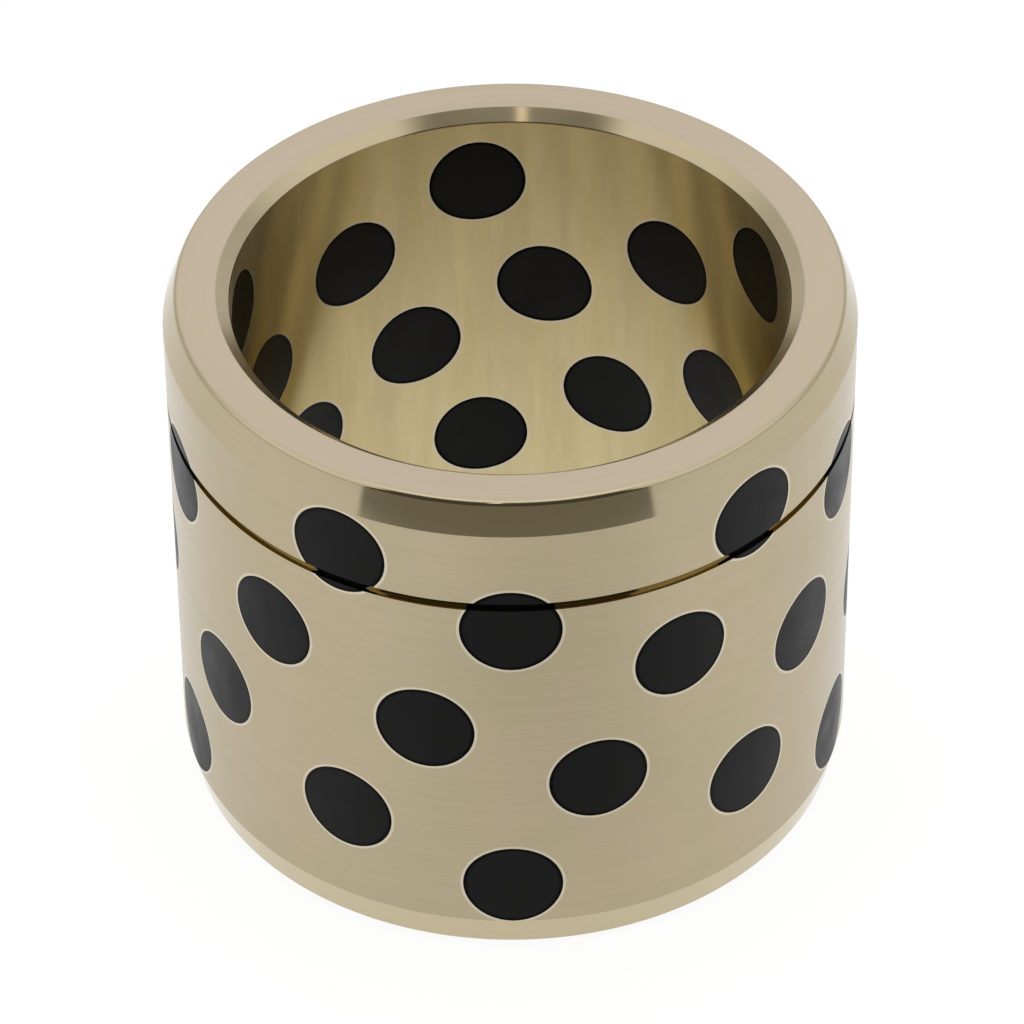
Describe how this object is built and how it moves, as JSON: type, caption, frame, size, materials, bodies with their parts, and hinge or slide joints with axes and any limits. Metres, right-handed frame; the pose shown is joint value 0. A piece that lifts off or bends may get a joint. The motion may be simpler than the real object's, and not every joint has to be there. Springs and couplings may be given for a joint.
{
  "type": "graphite plugged bushing",
  "caption": "Plain bushing: a turned bronze sleeve with a lead-in end, a relief groove under a collar band, and flush graphite plugs through its wall that lubricate the shaft in its bore.",
  "frame": {"origin": "centre of the lead-in end face, on the bushing's axis, at the lowest point", "axes": "+Z along the axis, from the lead-in end up to the collar end; -Y faces a plug of the lowest ring"},
  "size_m": [0.062, 0.062, 0.052],
  "materials": {
    "bronze": "fine-turned satin bronze",
    "graphite": "dull machined graphite"
  },
  "bodies": {
    "root": {"bronze_sleeve": "bronze", "graphite_plug_1a": "graphite", "graphite_plug_1b": "graphite", "graphite_plug_1c": "graphite", "graphite_plug_1d": "graphite", "graphite_plug_1e": "graphite", "graphite_plug_2a": "graphite", "graphite_plug_2b": "graphite", "graphite_plug_2c": "graphite", "graphite_plug_2d": "graphite", "graphite_plug_2e": "graphite", "graphite_plug_3a": "graphite", "graphite_plug_3b": "graphite", "graphite_plug_3c": "graphite", "graphite_plug_3d": "graphite", "graphite_plug_3e": "graphite", "graphite_plug_4a": "graphite", "graphite_plug_4b": "graphite", "graphite_plug_4c": "graphite", "graphite_plug_4d": "graphite", "graphite_plug_4e": "graphite", "graphite_plug_5a": "graphite", "graphite_plug_5b": "graphite", "graphite_plug_5c": "graphite", "graphite_plug_5d": "graphite", "graphite_plug_5e": "graphite", "graphite_plug_6a": "graphite", "graphite_plug_6b": "graphite", "graphite_plug_6c": "graphite", "graphite_plug_6d": "graphite", "graphite_plug_6e": "graphite", "graphite_plug_7a": "graphite", "graphite_plug_7b": "graphite", "graphite_plug_7c": "graphite", "graphite_plug_7d": "graphite", "graphite_plug_7e": "graphite"}
  },
  "joints": []
}
